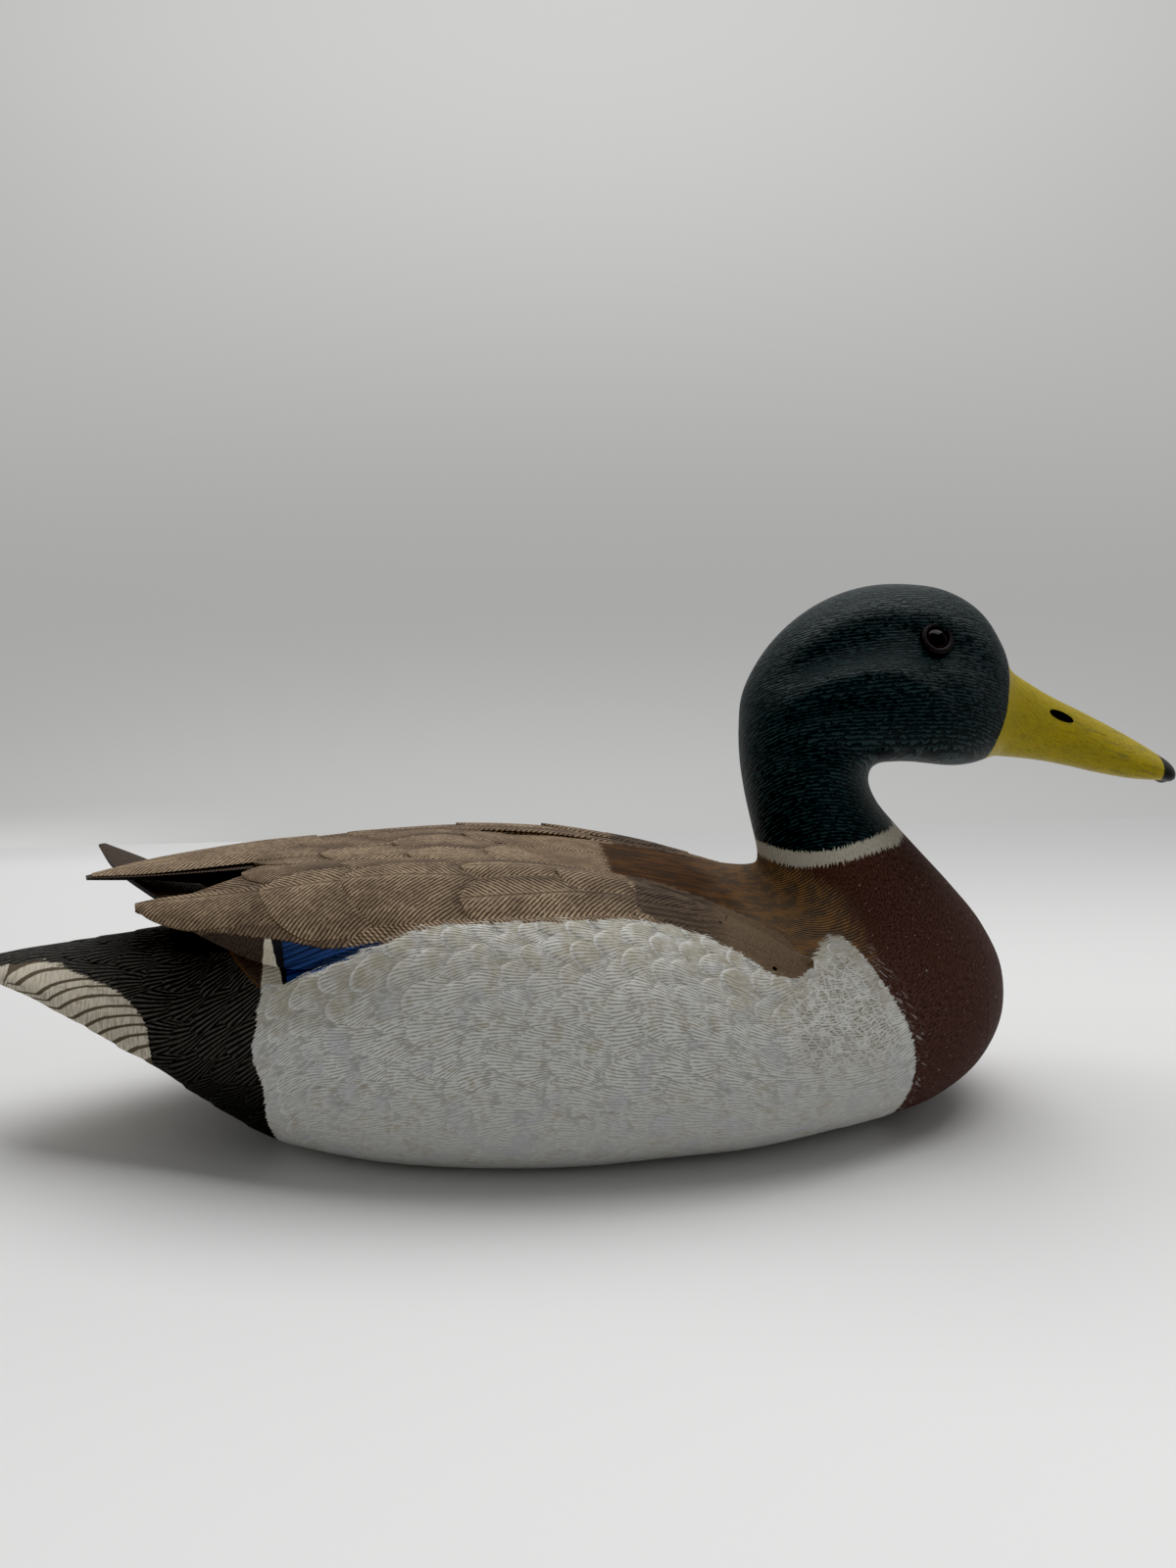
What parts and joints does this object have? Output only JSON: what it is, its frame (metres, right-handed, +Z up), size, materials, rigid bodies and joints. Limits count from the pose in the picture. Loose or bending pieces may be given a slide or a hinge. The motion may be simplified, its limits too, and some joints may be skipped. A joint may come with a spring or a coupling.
{
  "type": "duck decoy",
  "caption": "Carved and painted wooden mallard drake decoy with glass eyes, folded wings and crossed primaries, standing on its flat underside",
  "frame": {"origin": "on the flat underside, under the middle of the length from tail tip to bill tip", "axes": "+X towards the bill, +Y to the duck's left, +Z up"},
  "size_m": [0.415, 0.1542, 0.183],
  "materials": {
    "painted_wood": "matt paint over a burned feather texture",
    "glass_eye": "polished"
  },
  "bodies": {
    "root": {"carved_duck": "painted_wood", "eye_right": "glass_eye", "eye_left": "glass_eye"}
  },
  "joints": []
}
